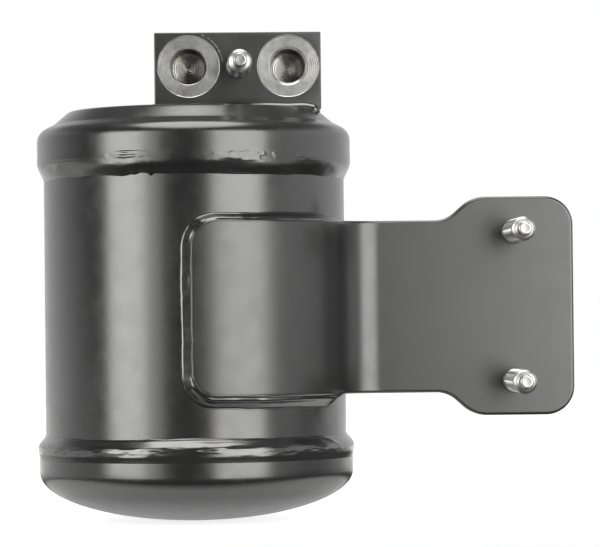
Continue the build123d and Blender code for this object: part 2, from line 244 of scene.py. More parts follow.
def mottle(turn, share, around, across, seed):
    """Smooth random patches, so many round the can and so many across a bead, between -1 and 1."""
    values = np.random.default_rng(seed).uniform(-1, 1, (around, across + 2))
    along = np.mod(turn, 1.0) * around
    over = np.clip(share, 0, 1) * across
    column = np.floor(along).astype(int)
    row = np.floor(over).astype(int)
    along = fade(along - column)
    over = fade(over - row)
    following = (column + 1) % around
    column = column % around
    near = values[column, row] * (1 - along) + values[following, row] * along
    far = values[column, row + 1] * (1 - along) + values[following, row + 1] * along
    return near * (1 - over) + far * over


def grid_faces(rows, columns, close_rows=False):
    """The quads between the points of a grid that is stored row by row and closed along its rows."""
    faces = []
    for row in range(rows if close_rows else rows - 1):
        here = row * columns
        after = (row + 1) % rows * columns
        for column in range(columns):
            beside = (column + 1) % columns
            faces.append((here + column, here + beside, after + beside, after + column))
    return faces


def end_faces(rows, columns):
    """The two faces that close the first and the last row of a grid."""
    last = (rows - 1) * columns
    return [tuple(range(columns))[::-1], tuple(range(last, last + columns))]


def rounded_line(corners, radii, step=6.0):
    """Points along straight runs in two dimensions, with arcs at their inner corners.

    step is the angle in degrees between the points of an arc.
    """
    corners = [Vector(corner) for corner in corners]
    points = [corners[0]]
    for before, corner, after, radius in zip(corners, corners[1:], corners[2:], radii):
        inward = (corner - before).normalized()
        outward = (after - corner).normalized()
        turn = acos(inward.dot(outward))
        reach = radius * tan(turn / 2)
        start = corner - inward * reach
        side = Vector((-inward.y, inward.x))
        if side.dot(outward) < 0:
            side = -side
        centre = start + side * radius
        count = max(2, round(turn / radians(step)))
        for number in range(count + 1):
            angle = turn * number / count
            points.append(centre - side * radius * cos(angle) + inward * radius * sin(angle))
    points.append(corners[-1])
    return np.array([tuple(point) for point in points])


def curve_through(points, count):
    """A smooth line through points, with the same number of steps between each two."""
    points = np.array(points, float)
    ends = np.concatenate((2 * points[:1] - points[1:2], points, 2 * points[-1:] - points[-2:-1]))
    share = (np.arange(count) / count)[:, None]
    line = []
    for before, start, end, after in zip(ends, ends[1:], ends[2:], ends[3:]):
        bend = 2 * before - 5 * start + 4 * end - after
        twist = 3 * start - before - 3 * end + after
        line.append(start + 0.5 * share * ((end - before) + share * (bend + share * twist)))
    return np.concatenate(line + [points[-1:]])


def divided(line, step):
    """A line with its long runs divided, so that no run is longer than a step."""
    points = [line[0]]
    for before, after in zip(line, line[1:]):
        count = max(1, int(np.ceil(np.linalg.norm(after - before) / step)))
        for number in range(1, count + 1):
            points.append(before + (after - before) * number / count)
    return np.array(points)


def from_ends(count, step):
    """How far each point of an evenly divided line is from its nearer end."""
    number = np.arange(count)
    return np.minimum(number, number[::-1]) * step


def normals_of(line, closed=False):
    """The unit normals of a line in two dimensions, to the left of its run."""
    if closed:
        run = np.roll(line, -1, axis=0) - np.roll(line, 1, axis=0)
    else:
        run = np.gradient(line, axis=0)
    run = run / np.linalg.norm(run, axis=1)[:, None]
    return np.stack((-run[:, 1], run[:, 0]), axis=1)


def sheet_outline(line, thickness):
    """A closed outline of an even sheet whose outer surface is a line; the sheet lies to its left."""
    inner = line + normals_of(line) * thickness
    inner[:, 0] = np.maximum(inner[:, 0], 0)
    return np.concatenate((line, inner[::-1]))


def turned(outline, sides, warp=None):
    """Points and faces of a closed outline in radius and height, turned about the upright axis.

    warp gives how far each point moves out along the outline's own normal, and up, from its turn and number.
    """
    turn = np.arange(sides) / sides
    radius = np.tile(outline[:, 0], (sides, 1))
    height = np.tile(outline[:, 1], (sides, 1))
    if warp is not None:
        normal = normals_of(outline, closed=True)
        if normal[len(outline) // 3, 0] < 0:
            normal = -normal
        outward, upward = warp(turn[:, None], np.arange(len(outline))[None, :])
        radius = radius + normal[None, :, 0] * outward
        height = height + normal[None, :, 1] * outward + upward
    angle = 2 * pi * turn[:, None]
    points = np.stack((radius * np.sin(angle), -radius * np.cos(angle), height), axis=2)
    return points.reshape(-1, 3), grid_faces(sides, len(outline), close_rows=True)


def facing_front(points, x, y, z):
    """Points turned about the upright axis, moved so that this axis points at the viewer from a place."""
    return np.stack((points[:, 0] + x, y - points[:, 2], z + points[:, 1]), axis=1)


def mesh_from(name, points, faces):
    """A mesh in the row's frame, with doubled points joined and its normals outward."""
    mesh = bpy.data.meshes.new(name)
    mesh.from_pydata(((np.asarray(points, float) - SEAT) * MM).tolist(), [], [tuple(face) for face in faces])
    shape = bmesh.new()
    shape.from_mesh(mesh)
    bmesh.ops.remove_doubles(shape, verts=shape.verts, dist=0.002 * MM)
    bmesh.ops.recalc_face_normals(shape, faces=shape.faces)
    shape.to_mesh(mesh)
    shape.free()
    return mesh


def placed(name, data):
    """A new object in the scene that holds a mesh, lamp or camera."""
    thing = bpy.data.objects.new(name, data)
    bpy.context.scene.collection.objects.link(thing)
    return thing


def finished_piece(name, mesh, material, node, sharp=None):
    """An object that stands for a CAD node, shaded smooth but for the edges sharper than an angle."""
    mesh.polygons.foreach_set("use_smooth", [True] * len(mesh.polygons))
    if sharp is not None:
        mesh.set_sharp_from_angle(angle=radians(sharp))
    piece = placed(name, mesh)
    mesh.materials.clear()
    mesh.materials.append(material)
    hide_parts(node)
    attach(piece, "root")


def painted_piece(name, points, faces, material, node, sharp=None):
    """A piece in black paint from its points and faces."""
    finished_piece(name, mesh_from(name, points, faces), material, node, sharp)


def cut_away(mesh, tools):
    """A mesh less the meshes of its cutters."""
    body = placed("body_to_cut", mesh)
    cutters = []
    for tool in tools:
        cutter = placed("cutter", tool)
        modifier = body.modifiers.new("cut", "BOOLEAN")
        modifier.operation = "DIFFERENCE"
        modifier.solver = "EXACT"
        modifier.object = cutter
        cutters.append(cutter)
    bpy.context.view_layer.update()
    evaluated = body.evaluated_get(bpy.context.evaluated_depsgraph_get())
    result = bpy.data.meshes.new_from_object(evaluated)
    for unwanted in cutters + [body]:
        bpy.data.objects.remove(unwanted)
    return result


# Finishes

class Tree:
    """A node tree with short calls for the nodes used here."""

    def __init__(self, tree):
        self.tree = tree

    def add(self, kind, **settings):
        node = self.tree.nodes.new(kind)
        for key, value in settings.items():
            setattr(node, key, value)
        return node

    def link(self, source, target):
        if hasattr(source, "is_output"):
            self.tree.links.new(source, target)
        else:
            target.default_value = source

    def fed(self, node, *values):
        """A node whose first inputs are set or linked."""
        for value, socket in zip(values, node.inputs):
            self.link(value, socket)
        return node

    def math(self, operation, *values):
        return self.fed(self.add("ShaderNodeMath", operation=operation), *values).outputs[0]

    def vector(self, operation, *values):
        return self.fed(self.add("ShaderNodeVectorMath", operation=operation), *values).outputs["Vector"]

    def measure(self, operation, *values):
        """The number that a vector operation gives, such as a length."""
        return self.fed(self.add("ShaderNodeVectorMath", operation=operation), *values).outputs["Value"]

    def split(self, vector):
        """A vector's three numbers."""
        return self.fed(self.add("ShaderNodeSeparateXYZ"), vector).outputs

    def ramp(self, value, low, high, bottom=0.0, top=1.0):
        """A value carried from one range to another, and held at its ends."""
        return self.fed(self.add("ShaderNodeMapRange"), value, low, high, bottom, top).outputs[0]

    def rise(self, value, low, high, bottom, top):
        """A value carried smoothly from one range to another, and held at its ends."""
        node = self.add("ShaderNodeMapRange", interpolation_type="SMOOTHSTEP")
        return self.fed(node, value, low, high, bottom, top).outputs[0]


class Finish(Tree):
    """The node tree of a new material."""

    def __init__(self, name):
        self.material = bpy.data.materials.new(name)
        self.material.use_nodes = True
        super().__init__(self.material.node_tree)
        self.shader = self.tree.nodes["Principled BSDF"]
        self.place = self.add("ShaderNodeTexCoord").outputs["Object"]

    def noise(self, scale, detail=2.0, roughness=0.5):
        """Noise whose scale is in waves per millimetre."""
        node = self.add("ShaderNodeTexNoise")
        self.link(self.place, node.inputs["Vector"])
        node.inputs["Scale"].default_value = scale / MM
        node.inputs["Detail"].default_value = detail
        node.inputs["Roughness"].default_value = roughness
        return node.outputs["Fac"]

    def mix(self, share, first, second, kind="RGBA"):
        """A colour, a number or a vector between two."""
        start, output = {"FLOAT": (2, 0), "VECTOR": (4, 1), "RGBA": (6, 2)}[kind]
        node = self.add("ShaderNodeMix", data_type=kind)
        self.link(share, node.inputs[0])
        self.link(first, node.inputs[start])
        self.link(second, node.inputs[start + 1])
        return node.outputs[output]

    def bump(self, height, distance, normal=None):
        """A bump whose height of one stands a distance in millimetres proud."""
        node = self.add("ShaderNodeBump")
        node.inputs["Strength"].default_value = 1.0
        node.inputs["Distance"].default_value = distance * MM
        self.link(height, node.inputs["Height"])
        if normal is not None:
            self.link(normal, node.inputs["Normal"])
        return node.outputs["Normal"]

    def from_axis(self, x, z):
        """The distance in millimetres from an axis that runs from front to back."""
        offset = self.vector("SUBTRACT", self.place, ((x - SEAT[0]) * MM, 0.0, (z - SEAT[2]) * MM))
        return self.math("DIVIDE", self.measure("LENGTH", self.vector("MULTIPLY", offset, (1, 0, 1))), MM)

    def set(self, **values):
        """Sets or links the shader's sockets by their names, with _ for a space."""
        for name, value in values.items():
            self.link(value, self.shader.inputs[name.replace("_", " ")])


# Most of a noise lies in this range
NOISE_RANGE = (0.3, 0.7)

PAINT = (0.0075, 0.008, 0.008, 1)
WORN_PAINT = (0.0115, 0.012, 0.0115, 1)
DUSTY_PAINT = (0.018, 0.0185, 0.0175, 1)
PAINT_IOR = 1.8
PAINT_SHINE = 0.6
WELD_SHINE = 0.75
BLOCK_SHINE = 0.4
PATCHINESS = 0.026
GRAIN_HEIGHT = 0.0002
WEAR_RANGE = (0.35, 0.7)
DUST_RANGE = (0.42, 0.62)

STEEL_GREYS = ((0.42, 0.42, 0.41, 1), (0.6, 0.6, 0.58, 1))
FELT_COLOURS = ((0.72, 0.69, 0.6, 1), (0.9, 0.88, 0.82, 1))
# A bead's own colour, and the darker colour of the painted shade in the gaps between beads
BEAD_AND_GAP_SHADE_COLOURS = ((0.84, 0.76, 0.6, 1), (0.45, 0.38, 0.28, 1))
BEAD_SIZE = 2.0


def paint_finish(nodes, smooth, dull, peel_height):
    """Satin black paint: its colour, roughness and the fine orange peel of its surface."""
    wear = nodes.noise(0.03, 3.0)
    grain = nodes.noise(1.6, 4.0, 0.6)
    patch = nodes.noise(0.16, 1.5)
    peel = nodes.noise(0.45)
    colour = nodes.mix(nodes.ramp(wear, *WEAR_RANGE), PAINT, WORN_PAINT)
    roughness = nodes.ramp(grain, *NOISE_RANGE, smooth, dull)
    roughness = nodes.math("ADD", roughness, nodes.ramp(patch, *NOISE_RANGE, -PATCHINESS, PATCHINESS))
    normal = nodes.bump(grain, GRAIN_HEIGHT, normal=nodes.bump(peel, peel_height))
    return colour, roughness, normal


def black_paint(name, shine, smooth, dull, peel_height):
    nodes = Finish(name)
    colour, roughness, normal = paint_finish(nodes, smooth, dull, peel_height)
    nodes.set(Base_Color=colour, Roughness=roughness, Normal=normal, IOR=PAINT_IOR, Specular_IOR_Level=shine)
    return nodes.material


def warm_grey(level):
    return (level, level, 0.96 * level, 1)


def zinc_plate(name, darker, lighter, smooth, dull):
    """Zinc, slightly clouded between two greys."""
    nodes = Finish(name)
    cloud = nodes.noise(0.5, 4.0, 0.6)
    nodes.set(
        Base_Color=nodes.mix(cloud, warm_grey(darker), warm_grey(lighter)),
        Roughness=nodes.ramp(cloud, *NOISE_RANGE, smooth, dull),
        Normal=nodes.bump(nodes.noise(2.0, 3.0), 0.01),
        Metallic=1.0,
    )
    return nodes.material


def bare_steel():
    nodes = Finish("plain_steel")
    cloud = nodes.noise(0.2, 4.0, 0.6)
    colour = nodes.mix(cloud, *STEEL_GREYS)
    nodes.set(Base_Color=colour, Roughness=nodes.ramp(cloud, *NOISE_RANGE, 0.3, 0.5), Metallic=1.0)
    return nodes.material


def felt():
    nodes = Finish("pressed_felt")
    fibre = nodes.noise(1.2, 6.0, 0.7)
    colour = nodes.mix(fibre, *FELT_COLOURS)
    nodes.set(Base_Color=colour, Roughness=0.95, Normal=nodes.bump(fibre, 0.3))
    return nodes.material


def desiccant():
    """Packed round beads, with painted shade dark between them."""
    nodes = Finish("packed_beads")
    bead = nodes.add("ShaderNodeTexVoronoi")
    nodes.link(nodes.place, bead.inputs["Vector"])
    bead.inputs["Scale"].default_value = 1 / (BEAD_SIZE * MM)
    away = bead.outputs["Distance"]
    nodes.set(Base_Color=nodes.mix(away, *BEAD_AND_GAP_SHADE_COLOURS), Roughness=0.8, Normal=nodes.bump(away, -0.8))
    return nodes.material


# Depths in the block between which one machined face gives way to the next
LIP_END = (SPOTFACE_DEPTH - 0.14, SPOTFACE_DEPTH - 0.06)
RIM_START = (SPOTFACE_DEPTH + 0.04, SPOTFACE_DEPTH + 0.1)
BORE_START = (SPOTFACE_DEPTH + 0.85, SPOTFACE_DEPTH + 1.1)
CONE_START = (PORT_DEPTH, PORT_DEPTH + 0.6)
MACHINED_END = (PORT_DEPTH + OUTLET_R, PORT_DEPTH + OUTLET_R + 0.5)

SPOTFACE_DARK = (0.15, 0.15, 0.14, 1)
SPOTFACE_PALE = (0.6, 0.6, 0.58, 1)
# Freshly cut steel, coloured near white as a painted highlight on the spotface lip and bore chamfer
CUT_EDGE_HIGHLIGHT = (0.9, 0.9, 0.88, 1)
# The bore walls' colours, darker than the spotfaces', between random patches
BORE_WALL_DARK = (0.04, 0.038, 0.034, 1)
BORE_WALL_PALE = (0.3, 0.29, 0.27, 1)
# Bare steel of the drill points, made paler as painted light that stands in for light reaching the bottom of
# the bores
DRILL_POINT_PAINTED_LIGHT = (0.46, 0.45, 0.42, 1)
MACHINED_ROUGHNESS = (0.28, 0.42)
CONE_ROUGHNESS = 0.16

# Heights of the turned steel's relief, and the shares of the grooves on the spotfaces and drill points
GROOVE_HEIGHT = 0.11
UNEVEN_HEIGHT = 0.08
FINE_HEIGHT = 0.02
SPOTFACE_GROOVES = 0.12
CONE_GROOVES = 0.35

# Where bare steel ends round a port, and how far the flaked arc is bare, breaks up and shows
BARE_EDGE = (SPOTFACE_R + LIP - 0.02, SPOTFACE_R + LIP + 0.04)
FLAKED = (0.4, 0.39, 0.37, 1)
FLAKE_EDGE = (0.08, 0.2)
FLAKE_BREAKS = (0.44, 0.56)
FLAKE_SHARE = 0.8


def machined_faces(nodes, radius, depth):
    """Bare turned steel: grey spotfaces, cut edges near white as a painted highlight, darker bore walls, and
    drill points paler as painted light.
    """
    uneven = nodes.noise(0.35, 4.0, 0.65)
    fine = nodes.noise(2.2, 3.0, 0.7)
    # cut marks the lip and the bore chamfer, which take the near white of a painted highlight
    cut = nodes.math("MAXIMUM", nodes.ramp(depth, *LIP_END, 1.0, 0.0), nodes.ramp(depth, *RIM_START))
    inside = nodes.ramp(depth, *BORE_START)
    cone = nodes.ramp(depth, *CONE_START)
    colour = nodes.mix(cut, nodes.mix(uneven, SPOTFACE_DARK, SPOTFACE_PALE), CUT_EDGE_HIGHLIGHT)
    # The bore walls are coloured darker than the spotfaces, in random patches
    bore_wall = nodes.mix(nodes.ramp(uneven, *NOISE_RANGE), BORE_WALL_DARK, BORE_WALL_PALE)
    # The drill points take a paler grey, which is painted light on them
    colour = nodes.mix(cone, nodes.mix(inside, colour, bore_wall), DRILL_POINT_PAINTED_LIGHT)
    roughness = nodes.mix(cone, nodes.ramp(fine, *NOISE_RANGE, *MACHINED_ROUGHNESS), CONE_ROUGHNESS, "FLOAT")
    drift = nodes.math("MULTIPLY", nodes.noise(0.12), 3.0)
    phase = nodes.math("MULTIPLY_ADD", radius, 2 * pi / TURNING_PITCH, drift)
    grooved = nodes.mix(inside, SPOTFACE_GROOVES, nodes.mix(cone, 1.0, CONE_GROOVES, "FLOAT"), "FLOAT")
    normal = nodes.bump(nodes.math("MULTIPLY", nodes.math("SINE", phase), grooved), GROOVE_HEIGHT)
    normal = nodes.bump(uneven, UNEVEN_HEIGHT, normal=normal)
    normal = nodes.bump(fine, FINE_HEIGHT, normal=normal)
    return colour, roughness, normal


def block_finish():
    """The painted block with bare machined ports, and paint flaked off in an arc beside the left one."""
    nodes = Finish("painted_block_machined_ports")
    paint, roughness, normal = paint_finish(nodes, smooth=0.33, dull=0.42, peel_height=0.008)
    paint = nodes.mix(nodes.ramp(nodes.noise(0.09, 4.0, 0.6), *DUST_RANGE), paint, DUSTY_PAINT)
    x, y, z = nodes.split(nodes.place)
    depth = nodes.math("MULTIPLY_ADD", y, 1 / MM, BLOCK_HALF_DEPTH + SEAT[1])
    machined = nodes.ramp(depth, *MACHINED_END, 1.0, 0.0)

    to_outlet = nodes.from_axis(OUTLET_X, PORT_HEIGHT)
    radius = nodes.math("MINIMUM", to_outlet, nodes.from_axis(INLET_X, PORT_HEIGHT))
    ragged = nodes.math("MULTIPLY_ADD", nodes.noise(0.5, 3.0, 0.6), 0.5, -0.25)
    edge = nodes.math("MULTIPLY_ADD", ragged, 0.5, radius)
    bare = nodes.ramp(edge, *BARE_EDGE, 1.0, 0.0)
    bare = nodes.math("MULTIPLY", bare, machined)

    off_arc = nodes.math("SUBTRACT", nodes.math("ADD", to_outlet, ragged), FLAKE_R)
    flaked = nodes.ramp(nodes.math("ABSOLUTE", off_arc), *FLAKE_EDGE, 1.0, 0.0)
    right = nodes.ramp(x, *((OUTLET_X + reach - SEAT[0]) * MM for reach in FLAKE_RIGHT))
    above = nodes.ramp(z, *((PORT_HEIGHT + reach - SEAT[2]) * MM for reach in FLAKE_ABOVE))
    broken = nodes.ramp(nodes.noise(0.9), *FLAKE_BREAKS)
    for limit in (broken, right, above, machined, FLAKE_SHARE):
        flaked = nodes.math("MULTIPLY", flaked, limit)

    steel, steel_roughness, grooves = machined_faces(nodes, radius, depth)
    nodes.set(
        Base_Color=nodes.mix(bare, nodes.mix(flaked, paint, FLAKED), steel),
        Roughness=nodes.mix(bare, roughness, steel_roughness, "FLOAT"),
        Metallic=bare,
        IOR=PAINT_IOR,
        Specular_IOR_Level=BLOCK_SHINE,
        Normal=nodes.mix(bare, normal, grooves, "VECTOR"),
    )
    return nodes.material


# Can

def can_piece(name, outline, material, node):
    """A piece of the can, whose outline in radius and height is turned all round."""
    points, faces = turned(outline, CAN_SIDES)
    painted_piece(name, points, faces, material, node, sharp=30)


def shell_tube(material):
    bore_r = TUBE_R - TUBE_WALL
    outline = np.array(((TUBE_R, TUBE_LOW), (TUBE_R, TUBE_HIGH), (bore_r, TUBE_HIGH), (bore_r, TUBE_LOW)))
    can_piece("can_tube", divided(outline, TUBE_STEP), material, "shell_tube")


def bottom_cap(material):
    """The pressed head: a skirt above a domed base."""
    line = [(CAP_R, BOTTOM_EDGE)]
    for number in range(DOME_STEPS + 1):
        angle = pi / 2 * number / DOME_STEPS
        line.append((CAP_R * cos(angle), HEAD_DEPTH * (1 - sin(angle))))
    outline = sheet_outline(divided(np.array(line)[::-1], LINE_STEP), CAP_WALL)
    can_piece("bottom_head", outline, material, "bottom_cap")


def top_cap(material):
    """The pressed lid: a skirt, a round shoulder, a sloping flank and a flat top."""
    corners = (
        (CAP_R, TOP_EDGE),
        (CAP_R, SHOULDER_HEIGHT),
        (CREASE_R, CREASE_HEIGHT),
        (LID_R, CAN_HEIGHT),
        (0, CAN_HEIGHT),
    )
    line = rounded_line(corners, (SHOULDER_FILLET, CREASE_FILLET, LID_FILLET))
    can_piece("top_lid", sheet_outline(divided(line, LINE_STEP), CAP_WALL), material, "top_cap")


def seam(name, profile, lap, toe, warp, material, node):
    """A weld bead round the can: its seen line from toe to lap, its hidden sides and its unevenness.

    warp gives how far its face moves out and up, in millimetres, from the turn and the share from toe to lap.
    """
    face = curve_through(profile, count=5)
    tube_side = TUBE_R - SEAM_ROOT
    hidden = ((CAP_R - SEAM_ROOT, lap), (tube_side, lap + (toe - lap) * 0.4), (tube_side, toe))
    outline = np.concatenate((face, hidden))
    share = np.append(np.linspace(0, 1, len(face)), np.zeros(len(hidden)))
    seen = np.arange(len(outline)) < len(face)

    def uneven(turn, number):
        outward, upward = warp(turn, share[number])
        return outward * seen[number], upward * seen[number]

    points, faces = turned(outline, SEAM_SIDES, uneven)
    painted_piece(name, points, faces, material, node)


def bottom_seam(material):
    """The seam over the bottom skirt, with a rope-like crown and the mark where the bead starts and stops."""
    profile = (
        (TUBE_R - 0.1, BOTTOM_TOE + 0.1),
        (TUBE_R + 0.28, BOTTOM_TOE - 0.1),
        (TUBE_R + 0.7, BOTTOM_TOE - 0.75),
        (52.25, 27.35),
        (53.05, 26.4),
        (53.43, 25.5),
        (BEAD_LIMIT_R, 24.6),
        (53.38, 23.3),
        (53.16, 22.2),
        (CAP_R + 0.02, 21.3),
        (CAP_R - 0.12, BOTTOM_LAP),
    )

    def warp(turn, share):
        crown = band(share, (0.27, 0.45), (0.6, 0.76))
        slope = band(share, (0.05, 0.22), (0.35, 0.6))
        rope = mottle(turn + 0.02 * share, share, around=64, across=12, seed=3)
        rope = rope * (0.6 + 0.4 * wave(turn, count=17, seed=4))
        fine = mottle(turn + 0.01 * share, share, around=170, across=16, seed=5)
        broad = wave(turn, count=26, seed=6)
        mark = sector(turn - 0.075 * share, *START_AND_STOP)
        outward = crown * (0.11 * rope + 0.03 * fine + 0.05 * broad - 0.09)
        outward = outward + slope * (0.16 * wave(turn + 0.012 * share, count=19, seed=7) - 0.1)
        outward = outward + 0.3 * mark * slope
        wander = 0.35 * wave(turn, count=9, seed=9) + 0.12 * wave(turn, count=64, seed=10)
        return outward, (1 - share) ** 3 * wander

    seam("bottom_seam", profile, BOTTOM_LAP, BOTTOM_TOE, warp, material, "bottom_seam_weld")


def top_seam(material):
    """The seam under the lid's skirt: folds along its lap, a round underside and a wavy, nicked toe."""
    profile = (
        (TUBE_R - 0.1, TOP_TOE - 0.1),
        (TUBE_R + 0.14, TOP_TOE + 0.25),
        (51.2, 115.8),
        (51.85, 117.0),
        (52.45, 118.2),
        (52.85, 119.4),
        (53.03, 120.7),
        (CAP_R + 0.02, 121.8),
        (CAP_R - 0.05, 122.8),
        (CAP_R - 0.1, 123.8),
    )

    def warp(turn, share):
        left = sector(turn, *LEFT_FOLDS)
        right = np.minimum(1, 1.6 * sector(turn, *RIGHT_FOLDS))
        line = 0.78 + 0.012 * wave(turn, count=40, seed=11)
        crease = swell(share, line + 0.075, 0.04) + 1.4 * swell(share, line - 0.075, 0.05)
        outward = left * (0.14 + 0.08 * wave(turn, count=70, seed=19)) * crease

        near_lap = band(share, (0.5, 0.66), (0.84, 0.97))
        folds = 0.08 + left * 0.3 + right * 0.6 + 0.3 * np.clip(wave(turn, count=9, seed=18), 0, 1)
        ridge = 1 - 2.2 * np.abs(mottle(turn + 0.02 * share, share, around=110, across=8, seed=12))
        fine = mottle(turn - 0.01 * share, share, around=260, across=12, seed=13)
        outward = outward + near_lap * folds * (0.14 * ridge + 0.06 * fine)

        under = band(share, (0.1, 0.3), (0.45, 0.7))
        patches = mottle(turn, share, around=90, across=6, seed=15)
        outward = outward + under * (0.15 * wave(turn, count=34, seed=14) + 0.06 * patches)
        outward = outward + 0.3 * sector(turn, *RIGHT_BULGE) * swell(share, 0.38, 0.14)
        outward = outward + 0.22 * sector(turn, *LEFT_BULGE) * swell(share, 0.4, 0.14)

        nick = sum(depth * sector(turn, middle, half_width) for depth, middle, half_width in NICKS)
        rough = 0.4 + sector(turn, *ROUGH_TOE)
        wander = 0.45 * rough * wave(turn, count=52, seed=16) + 0.2 * wave(turn, count=15, seed=17)
        return np.minimum(outward, BEAD_LIMIT_R - CAP_R), (1 - share) ** 3 * (wander - nick)

    seam("top_seam", profile, TOP_LAP, TOP_TOE, warp, material, "top_seam_weld")


# Port block

def port_tool(x, bore_r, chamfer):
    """The cutter of a port: spotface with a turned lip, chamfered bore and drill point."""
    line = (
        (0, -CLEARANCE),
        (SPOTFACE_R + LIP, -CLEARANCE),
        (SPOTFACE_R + LIP, -HAIR),
        (SPOTFACE_R, LIP),
        (SPOTFACE_R, SPOTFACE_DEPTH),
        (bore_r + chamfer, SPOTFACE_DEPTH),
        (bore_r, SPOTFACE_DEPTH + chamfer),
        (bore_r, PORT_DEPTH),
        (0, PORT_DEPTH + bore_r / tan(radians(DRILL_POINT / 2))),
    )
    points, faces = turned(np.array([(radius, -depth) for radius, depth in line]), PORT_SIDES)
    return mesh_from("port_tool", facing_front(points, x, -BLOCK_HALF_DEPTH, PORT_HEIGHT), faces)


def passage_tool(x, below_port):
    """The cutter of the hole that runs down from the lower side of a port's end."""
    low = CAN_HEIGHT - CLEARANCE
    high = PORT_HEIGHT - below_port
    outline = np.array(((0, low), (PASSAGE_R, low), (PASSAGE_R, high), (0, high)))
    points, faces = turned(outline, PASSAGE_SIDES)
    return mesh_from("passage_tool", points + (x, 0, 0), faces)


def port_block(material):
    """The block, rounded along all edges but those of its foot, less its ports and passages."""
    low = (np.array((BLOCK_LEFT, -BLOCK_HALF_DEPTH, CAN_HEIGHT)) - SEAT) * MM
    high = (np.array((BLOCK_RIGHT, BLOCK_HALF_DEPTH, BLOCK_TOP)) - SEAT) * MM
    matrix = Matrix.Translation(((low + high) / 2).tolist()) @ Matrix.Diagonal((*(high - low).tolist(), 1))
    shape = bmesh.new()
    bmesh.ops.create_cube(shape, size=1.0, matrix=matrix)
    foot = low[2] + HAIR * MM
    edges = [edge for edge in shape.edges if max(corner.co.z for corner in edge.verts) > foot]
    bmesh.ops.bevel(shape, geom=edges, offset=BLOCK_EDGE * MM, segments=4, profile=0.5, affect="EDGES")
    mesh = bpy.data.meshes.new("port_block_body")
    shape.to_mesh(mesh)
    shape.free()
    tools = (
        port_tool(OUTLET_X, OUTLET_R, OUTLET_CHAMFER),
        port_tool(INLET_X, INLET_R, INLET_CHAMFER),
        passage_tool(OUTLET_PASSAGE_X, OUTLET_PASSAGE_DROP),
        passage_tool(INLET_X, INLET_PASSAGE_DROP),
    )
    finished_piece("ported_block", cut_away(mesh, tools), material, "port_block", sharp=28)


def block_weld(material):
    """The bead round the block's foot, with a droop where the lid's rim falls away under its right end."""
    half = BLOCK_HALF_DEPTH
    corners = ((BLOCK_BEAD_END, -half), (BLOCK_LEFT, -half), (BLOCK_LEFT, half), (BLOCK_BEAD_END, half))
    line = divided(rounded_line(corners, (BLOCK_CORNER, BLOCK_CORNER), step=15), BLOCK_BEAD_STEP)
    outward = normals_of(line)
    count = len(line)
    base = CAN_HEIGHT - BLOCK_BEAD_DROOP * smooth_step(np.hypot(*line.T), *BLOCK_BEAD_FALL)
    leg = BLOCK_BEAD_LEG * (1 + 0.07 * wave(np.arange(count) / count, count=40, seed=21))
    leg = leg * (0.35 + 0.65 * np.minimum(1, from_ends(count, BLOCK_BEAD_STEP) / BLOCK_BEAD_TAPER))
    angles = np.linspace(*BLOCK_BEAD_ARC, 10)
    points = []
    for place, normal, size, level in zip(line, outward, leg, base):
        wide = BLOCK_BEAD_WIDE * size
        tall = BLOCK_BEAD_TALL * size
        across = np.append(wide * np.cos(angles) + 0.1, (-BLOCK_BEAD_ROOT, -BLOCK_BEAD_ROOT))
        height = np.append(tall * np.sin(angles) + 0.1, (0.6 * size, -0.6))
        points.append(np.column_stack((place + across[:, None] * normal, level + height)))
    columns = len(across)
    faces = grid_faces(count, columns) + end_faces(count, columns)
    painted_piece("block_bead", np.concatenate(points), faces, material, "block_weld", sharp=60)


# Studs

def thread_radius(angle, height, low, high):
    """The radius of a thread's surface, which runs out at both its ends."""
    phase = np.mod(height / STUD_PITCH - angle / (2 * pi), 1.0)
    tooth = np.clip((np.abs(phase - 0.5) * 2 - THREAD_FLAT) / (1 - 2 * THREAD_FLAT), 0, 1)
    depth = (STUD_R - STUD_ROOT_R) * smooth_step(height, low, low + STUD_PITCH)
    return STUD_R - depth * (1 - tooth) * smooth_step(high - height, 0, STUD_PITCH / 2)


def stud_surface(reach, root):
    """A threaded stud with its dog point, along its own axis from its root below zero."""
    step = STUD_PITCH / THREAD_STEPS
    shoulder = reach - STUD_SHOULDER
    end = reach + DOG_LENGTH
    angle = 2 * pi * np.arange(STUD_SIDES) / STUD_SIDES
    rings = [
        (0, -root),
        (STUD_COLLAR_R, -root),
        (STUD_COLLAR_R, -0.25),
        (STUD_COLLAR_R - 0.2, 0.15),
        (STUD_R, 0.5),
        (STUD_R, THREAD_START),
    ]
    for height in np.arange(THREAD_START + step, shoulder, step):
        rings.append((thread_radius(angle, height, THREAD_START, shoulder), height))
    rings += [
        (STUD_R, shoulder),
        (STUD_R - 0.15, shoulder + 0.3),
        (STUD_R - 0.75, reach),
        (STUD_R - 1.1, reach + 0.1),
        (DOG_R + 0.1, reach + 0.3),
        (DOG_GROOVE_R, reach + 0.5),
        (DOG_GROOVE_R, reach + 0.9),
        (DOG_R, reach + 1.2),
        (DOG_R, end - 0.5),
        (DOG_R - 0.12, end - 0.2),
        (DOG_R - 0.45, end),
        (DOG_R - 1.0, end - 0.08),
        (0, end - 0.12),
    ]
    points = []
    for radius, height in rings:
        level = np.full(STUD_SIDES, height)
        points.append(np.column_stack((radius * np.cos(angle), radius * np.sin(angle), level)))
    return np.concatenate(points), grid_faces(len(rings), STUD_SIDES)


def stud_piece(name, points, faces, place, material, node):
    """A plated stud that points at the viewer from a place."""
    mesh = mesh_from(name, facing_front(points, *place), faces)
    finished_piece(name, mesh, material, node, sharp=40)


def port_stud(material):
    points, faces = stud_surface(PORT_STUD_REACH, PORT_STUD_ROOT)
    place = ((OUTLET_X + INLET_X) / 2, -BLOCK_HALF_DEPTH, PORT_HEIGHT)
    stud_piece("block_stud", points, faces, place, material, "port_stud")


